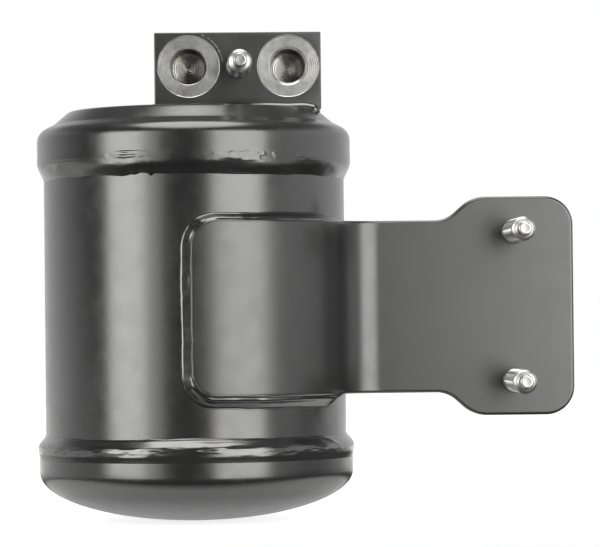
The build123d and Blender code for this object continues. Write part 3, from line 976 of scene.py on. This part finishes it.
def bracket_stud(material, side, name, node):
    """A stud of the pad, above or below its middle, with its round head behind the sheet."""
    points, faces = stud_surface(BRACKET_STUD_REACH, BRACKET_STUD_ROOT)
    rear = -SHEET - STUD_HEAD_HEIGHT
    head = (
        (0, -SHEET),
        (STUD_HEAD_R, -SHEET),
        (STUD_HEAD_R, rear + STUD_HEAD_ROUND),
        (STUD_HEAD_R - 0.3 * STUD_HEAD_ROUND, rear + 0.3 * STUD_HEAD_ROUND),
        (STUD_HEAD_R - STUD_HEAD_ROUND, rear),
        (0, rear),
    )
    head_points, head_faces = turned(np.array(head), STUD_SIDES)
    faces += [tuple(len(points) + number for number in face) for face in head_faces]
    points = np.concatenate((points, head_points))
    place = (STUD_LINE_X, PLATE_FRONT, BRACKET_HEIGHT + side * STUD_HALF_SPACING)
    stud_piece(name, points, faces, place, material, node)


# Bracket

BEND_CENTRE_Y = PLATE_FRONT - BEND_R
BEND_CENTRE_X = sqrt((SADDLE_R + BEND_R) ** 2 - BEND_CENTRE_Y ** 2)
WRAP = atan2(BEND_CENTRE_X, -BEND_CENTRE_Y)
SADDLE_RUN = SADDLE_R * WRAP
FLAT_START = SADDLE_RUN + BEND_R * WRAP
FLAT_SHIFT = FLAT_START - BEND_CENTRE_X


def on_strap(run, depth):
    """The place in plan of a point of the sheet, from its run along the front face and its depth."""
    if run < SADDLE_RUN:
        angle = run / SADDLE_R
        radius = SADDLE_R - depth
        return radius * sin(angle), -radius * cos(angle)
    if run < FLAT_START:
        angle = WRAP - (run - SADDLE_RUN) / BEND_R
        radius = BEND_R + depth
        return BEND_CENTRE_X - radius * sin(angle), BEND_CENTRE_Y + radius * cos(angle)
    return run - FLAT_SHIFT, PLATE_FRONT + depth


def strap_outline():
    """The sheet's outline laid flat, in run and height above the bracket's middle."""
    pad_start = NECK_REACH + (PAD_HALF - NECK_HALF) / tan(radians(FLARE_ANGLE))
    middle = (OUTLINE_START + FLAT_SHIFT, NECK_HALF)
    upper = [(NECK_REACH, NECK_HALF), (pad_start, PAD_HALF), (PLATE_END, PAD_HALF)]
    upper = [(x + FLAT_SHIFT, height) for x, height in upper]
    lower = [(run, -height) for run, height in reversed(upper)]
    left = [(SADDLE_LEFT, -NECK_HALF), (SADDLE_LEFT, NECK_HALF)]
    radii = [FLARE_INNER_R, FLARE_OUTER_R, PAD_CORNER]
    radii += radii[::-1] + [SADDLE_CORNER] * 2
    line = rounded_line([middle] + upper + lower + left + [middle], radii, step=4)
    return divided(line, LINE_STEP)[:-1]


def signed_depth(points, loop):
    """How deep each point lies inside a closed loop, below zero outside it."""
    ahead = np.roll(loop, -1, axis=0)
    span = ahead - loop
    offset = points[:, None, :] - loop[None, :, :]
    share = np.clip((offset * span).sum(2) / (span * span).sum(1), 0, 1)
    gap = np.linalg.norm(offset - share[:, :, None] * span, axis=2).min(axis=1)
    low = np.minimum(loop[:, 1], ahead[:, 1])
    high = np.maximum(loop[:, 1], ahead[:, 1])
    height = points[:, 1][:, None]
    crosses = (height >= low) & (height < high)
    steep = np.where(np.abs(span[:, 1]) < TINY, TINY, span[:, 1])
    reach = loop[:, 0] + (height - loop[:, 1]) / steep * span[:, 0]
    inside = (crosses & (reach > points[:, 0][:, None])).sum(axis=1) % 2 == 1
    return np.where(inside, gap, -gap)


def filled(loop):
    """Points and triangles that fill a loop laid flat, closest together where the sheet bends."""
    bend_start = SADDLE_RUN - BEND_MARGIN
    bend_end = FLAT_START + BEND_MARGIN
    runs = np.concatenate((
        np.arange(SADDLE_LEFT + FILL_MARGIN, bend_start, SADDLE_STEP),
        np.arange(bend_start, bend_end, BEND_STEP),
        np.arange(bend_end + 1, PLATE_END + FLAT_SHIFT - FILL_MARGIN, FLAT_STEP),
    ))
    heights = np.linspace(-PAD_HALF + FILL_MARGIN, PAD_HALF - FILL_MARGIN, FILL_ROWS)
    grid = np.array([(run, height) for run in runs for height in heights])
    grid = grid[signed_depth(grid, loop) > FILL_GAP]
    points = [Vector(point) for point in np.concatenate((loop, grid))]
    border = [(number, (number + 1) % len(loop)) for number in range(len(loop))]
    points, _, triangles, *_ = delaunay_2d_cdt(points, border, [], INSIDE_ONLY, FILL_TOLERANCE)
    return np.array([tuple(point) for point in points]), triangles


def bracket_plate(material):
    """One bent sheet with rounded edges."""
    loop = strap_outline()
    inward = -normals_of(loop, closed=True)
    angles = np.linspace(0, pi / 2, 6)
    rings = [(SHEET_EDGE * (1 - cos(angle)), SHEET_EDGE * (1 - sin(angle))) for angle in angles]
    face_inset = SHEET_EDGE + 0.3
    profile = [(face_inset, 0.0)] + rings[::-1]
    profile += [(inset, SHEET - depth) for inset, depth in rings] + [(face_inset, SHEET)]
    flat = [loop + inward * inset for inset, _ in profile]
    depths = [np.full(len(loop), depth) for _, depth in profile]
    faces = grid_faces(len(profile), len(loop))
    face_points, triangles = filled(flat[0])
    for depth, order in ((0.0, 1), (SHEET, -1)):
        start = sum(len(points) for points in flat)
        flat.append(face_points)
        depths.append(np.full(len(face_points), depth))
        faces += [tuple(start + number for number in triangle[::order]) for triangle in triangles]
    points = [
        (*on_strap(run, depth), BRACKET_HEIGHT + height)
        for (run, height), depth in zip(np.concatenate(flat), np.concatenate(depths))
    ]
    painted_piece("mount_plate", points, faces, material, "bracket_plate")


def saddle_section(climb):
    """A section of the saddle's bead, in shares of its width and heights above the tube."""
    sheet_top = SADDLE_R - TUBE_R
    lip = ((0.87, 0.0), (0.9, 0.15), (0.935, 0.21), (0.985, 0.2), (1.0, -0.05))
    seen = climb + tuple((share, sheet_top + height) for share, height in lip)
    hidden = ((1.0, sheet_top - 0.5), (0.8, sheet_top - 0.6), (0.7, -0.25))
    return np.concatenate((curve_through(seen, count=3), hidden))


def bracket_weld(material):
    """The bead round the saddle's edge: along its top, down its left side and back along its foot.

    It climbs from a step at its toe, up a sloping band, and ends in a narrow lip on the sheet.
    """
    end = TUBE_R * asin(SADDLE_BEAD_END / TUBE_R)
    corners = ((end, NECK_HALF), (SADDLE_LEFT, NECK_HALF), (SADDLE_LEFT, -NECK_HALF), (end, -NECK_HALF))
    line = divided(rounded_line(corners, (SADDLE_CORNER, SADDLE_CORNER), step=3), SADDLE_BEAD_STEP)
    outward = -normals_of(line)
    count = len(line)
    turn = np.arange(count)[:, None] / count
    at_top = np.clip(outward[:, 1:], 0, 1)
    at_foot = np.clip(-outward[:, 1:], 0, 1)
    taper = smooth_step(from_ends(count, SADDLE_BEAD_STEP)[:, None], *SADDLE_TAPER)

    toe = SADDLE_TOE + (SADDLE_TOP_TOE - SADDLE_TOE) * at_top + (SADDLE_FOOT_TOE - SADDLE_TOE) * at_foot
    toe = toe + 0.22 * wave(turn, count=24, seed=31) + 0.07 * wave(turn, count=90, seed=32)
    lap = SADDLE_LAP + 0.12 * wave(turn, count=40, seed=33)
    swelling = 0.72 + 0.28 * taper + 0.05 * wave(turn, count=60, seed=34)

    side = ((0.0, -0.15), (0.03, 0.32), (0.1, 0.62), (0.2, 0.8), (0.42, 1.5), (0.64, 2.25), (0.82, 2.85))
    upper = ((0.0, -0.15), (0.05, 0.35), (0.11, 0.6), (0.2, 0.82), (0.38, 1.75), (0.58, 2.65), (0.78, 2.98))
    lower = ((0.0, -0.15), (0.015, 0.16), (0.1, 0.18), (0.14, 0.6), (0.42, 1.75), (0.6, 2.75), (0.8, 2.85))
    side, upper, lower = (saddle_section(climb).T[:, None, :] for climb in (side, upper, lower))
    share, height = side + (upper - side) * at_top + (lower - side) * at_foot

    away = (toe + lap) * (0.25 + 0.75 * taper) * (1 - share) - lap * (0.4 + 0.6 * taper)
    angle = (line[:, :1] + outward[:, :1] * away) / TUBE_R
    level = line[:, 1:] + outward[:, 1:] * away
    middle = np.sin(pi * np.minimum(1, share / 0.85))
    radius = TUBE_R + height + (swelling - 1) * height * middle
    points = np.stack((radius * np.sin(angle), -radius * np.cos(angle), BRACKET_HEIGHT + level), axis=2)
    columns = share.shape[1]
    faces = grid_faces(count, columns) + end_faces(count, columns)
    painted_piece("saddle_bead", points.reshape(-1, 3), faces, material, "bracket_weld", sharp=55)


# Build

paint = black_paint("satin_black_paint", PAINT_SHINE, smooth=0.245, dull=0.265, peel_height=0.0018)
plate_paint = black_paint("plate_black_paint", PAINT_SHINE, smooth=0.31, dull=0.33, peel_height=0.0018)
weld_paint = black_paint("thick_black_paint", WELD_SHINE, smooth=0.18, dull=0.23, peel_height=0.004)
zinc = zinc_plate("bright_zinc", darker=0.36, lighter=0.52, smooth=0.32, dull=0.42)
pale_zinc = zinc_plate("pale_zinc", darker=0.42, lighter=0.6, smooth=0.34, dull=0.44)

STEEL_NODES = (
    "pickup_tube",
    "strainer_collar",
    "strainer_screen",
    "strainer_cap",
    "lower_plate",
    "upper_plate",
    "pack_spring",
)
FELT_NODES = ("lower_filter_pad", "upper_filter_pad")
BEAD_NODES = ("desiccant_bed",)
for material, names in ((bare_steel(), STEEL_NODES), (felt(), FELT_NODES), (desiccant(), BEAD_NODES)):
    for name in names:
        hidden = frame["nodes"][name].data
        hidden.materials.clear()
        hidden.materials.append(material)

shell_tube(paint)
bottom_cap(paint)
top_cap(paint)
bottom_seam(weld_paint)
top_seam(paint)
port_block(block_finish())
block_weld(weld_paint)
port_stud(zinc)
bracket_plate(plate_paint)
bracket_weld(weld_paint)
bracket_stud(pale_zinc, 1, "pad_stud_upper", "bracket_stud_upper")
bracket_stud(pale_zinc, -1, "pad_stud_lower", "bracket_stud_lower")


# Stage

# Places and lamps are in millimetres, round the can's axis. The floor's ranges and size are in metres.
FLOOR_PALE = (0.86, 0.86, 0.86, 1)
FLOOR_UNLIT = (0.03, 0.03, 0.03, 1)
FLOOR_WHITE = 0.8
# The floor's painted glow, seen only in gloss: its narrowing, and its ranges and levels beneath, far off and
# beside the drier
FLOOR_NARROWED = (0.58, 1.0, 1.0)
FLOOR_NEAR = (0.050, 0.067)
FLOOR_GLOW_BENEATH = 0.72
FLOOR_FAR = (0.10, 0.35)
FLOOR_DIM = 0.03
FLOOR_SIDE = (-0.8, 0.6, 0.0)
FLOOR_SIDE_RISE = (0.06, 0.18)
FLOOR_SIDE_LEVEL = 0.5
FLOOR_SIZE = 12.0
FLOOR_FRONT = -130.0
FLOOR_HEIGHT = -0.2
BACKDROP_SIDE = (0.45, 1.0, 0.0)
BACKDROP_RISE = (-0.7, 0.5)
BACKDROP_TOP = (0.35, 0.65)
ROOM_LEVEL = 0.045
CEILING_LEVEL = 0.2
LAMP_WARMTH = (1.0, 0.998, 0.968)
LAMP_AIM = (0.0, 0.0, 75.0)
BOX_DISTANCE = 900.0
BOX_HEIGHT = 180.0
BOX_TALL = 680.0
TOP_LAMP_PLACE = (-30.0, -230.0, 960.0)
TOP_LAMP_SIZE = (820.0, 960.0)
CAMERA_PLACE = (-8.4, -1120.0, 67.0)
CAMERA_AIM = (35.7, 0.0, 83.0)
CAMERA_ROLL = -0.6
FOCAL_LENGTH = 198.0
SENSOR_WIDTH = 36.0
CAMERA_CLIP = (0.05, 50.0)


def in_row(x, y, z):
    """A place in the row's frame, in metres, from millimetres round the can's axis."""
    return Vector(((np.array((x, y, z)) - SEAT) * MM).tolist())


def background_share(nodes, sight):
    """1 where a ray comes from the camera, and a share of it where metal, paint or glass sends the ray."""
    rays = nodes.add("ShaderNodeLightPath").outputs
    sent = nodes.math("MAXIMUM", rays["Is Glossy Ray"], rays["Is Transmission Ray"])
    return nodes.math("MAXIMUM", rays["Is Camera Ray"], nodes.math("MULTIPLY", sent, sight))


def floor():
    """A plain white floor that keeps the drier's shadow.

    Gloss sees a painted glow on it: bright beneath the drier, far behind it and to its left, nearly black
    elsewhere.
    """
    middle = in_row(0, FLOOR_FRONT, FLOOR_HEIGHT) + Vector((0, FLOOR_SIZE / 2, 0))
    bpy.ops.mesh.primitive_plane_add(size=FLOOR_SIZE, location=middle)
    plane = bpy.context.object
    plane.name = "floor"
    nodes = Finish("pale_floor")
    offset = nodes.vector("ADD", nodes.place, middle - in_row(0, 0, 0))
    away = nodes.measure("LENGTH", nodes.vector("MULTIPLY", offset, FLOOR_NARROWED))
    # A painted glow beneath the drier, seen only in gloss, in place of the shade a real floor has there
    beneath = nodes.rise(away, *FLOOR_NEAR, FLOOR_GLOW_BENEATH, FLOOR_DIM)
    behind = nodes.rise(nodes.split(offset)["Y"], *FLOOR_FAR, 0.0, 1.0)
    leftward = nodes.measure("DOT_PRODUCT", offset, FLOOR_SIDE)
    beside = nodes.rise(leftward, *FLOOR_SIDE_RISE, 0.0, FLOOR_SIDE_LEVEL)
    bright = nodes.math("MAXIMUM", nodes.math("MAXIMUM", beneath, behind), beside)
    share = background_share(nodes, bright)
    nodes.set(
        Base_Color=nodes.mix(share, FLOOR_UNLIT, FLOOR_PALE),
        Roughness=0.9,
        Specular_IOR_Level=0.1,
        Emission_Color=(1, 1, 1, 1),
        Emission_Strength=nodes.math("MULTIPLY", share, FLOOR_WHITE),
    )
    plane.data.materials.append(nodes.material)


def world():
    """A white backdrop behind the drier, in a room that is dark towards the viewer and paler at the right."""
    sky = bpy.data.worlds.new("studio")
    bpy.context.scene.world = sky
    sky.use_nodes = True
    nodes = Tree(sky.node_tree)
    direction = nodes.add("ShaderNodeTexCoord").outputs["Generated"]
    towards = nodes.measure("DOT_PRODUCT", direction, BACKDROP_SIDE)
    below_ceiling = nodes.rise(nodes.split(direction)["Z"], *BACKDROP_TOP, 1.0, CEILING_LEVEL)
    level = nodes.math("MULTIPLY", below_ceiling, nodes.rise(towards, *BACKDROP_RISE, ROOM_LEVEL, 1.0))
    background = nodes.tree.nodes["Background"]
    background.inputs["Color"].default_value = (1, 1, 1, 1)
    nodes.link(nodes.math("MAXIMUM", level, background_share(nodes, level)), background.inputs["Strength"])


def softbox(name, place, width, tall, strength, shape="RECTANGLE"):
    """A soft lamp whose face has an even level, turned to the can's middle."""
    lamp = bpy.data.lights.new(name, "AREA")
    lamp.shape = shape
    lamp.color = LAMP_WARMTH
    lamp.size = width * MM
    lamp.size_y = tall * MM
    face = width * tall * MM * MM
    lamp.energy = strength * pi * (face if shape == "RECTANGLE" else face * pi / 4)
    holder = placed(name, lamp)
    holder.location = place
    holder.rotation_euler = (in_row(*LAMP_AIM) - place).to_track_quat("-Z", "Y").to_euler()


def side_box(name, azimuth, width, strength):
    """A tall soft lamp at an angle to the right of the viewer's line to the can."""
    turn = radians(azimuth)
    place = in_row(BOX_DISTANCE * sin(turn), -BOX_DISTANCE * cos(turn), BOX_HEIGHT)
    softbox(name, place, width, BOX_TALL, strength)


def camera():
    lens = bpy.data.cameras.new("camera")
    lens.lens = FOCAL_LENGTH
    lens.sensor_width = SENSOR_WIDTH
    lens.clip_start, lens.clip_end = CAMERA_CLIP
    holder = placed("camera", lens)
    place = in_row(*CAMERA_PLACE)
    holder.location = place
    towards = (in_row(*CAMERA_AIM) - place).to_track_quat("-Z", "Y").to_matrix().to_4x4()
    holder.rotation_euler = (towards @ Matrix.Rotation(radians(CAMERA_ROLL), 4, "Z")).to_euler()
    bpy.context.scene.camera = holder


floor()
world()
side_box("left_box", azimuth=-52, width=500, strength=4.9)
side_box("left_edge", azimuth=-30, width=180, strength=1.7)
side_box("right_box", azimuth=32, width=640, strength=4.4)
softbox("top_lamp", in_row(*TOP_LAMP_PLACE), *TOP_LAMP_SIZE, strength=4.4, shape="ELLIPSE")
camera()
bpy.context.scene.view_settings.view_transform = "Standard"

bpy.context.view_layer.update()
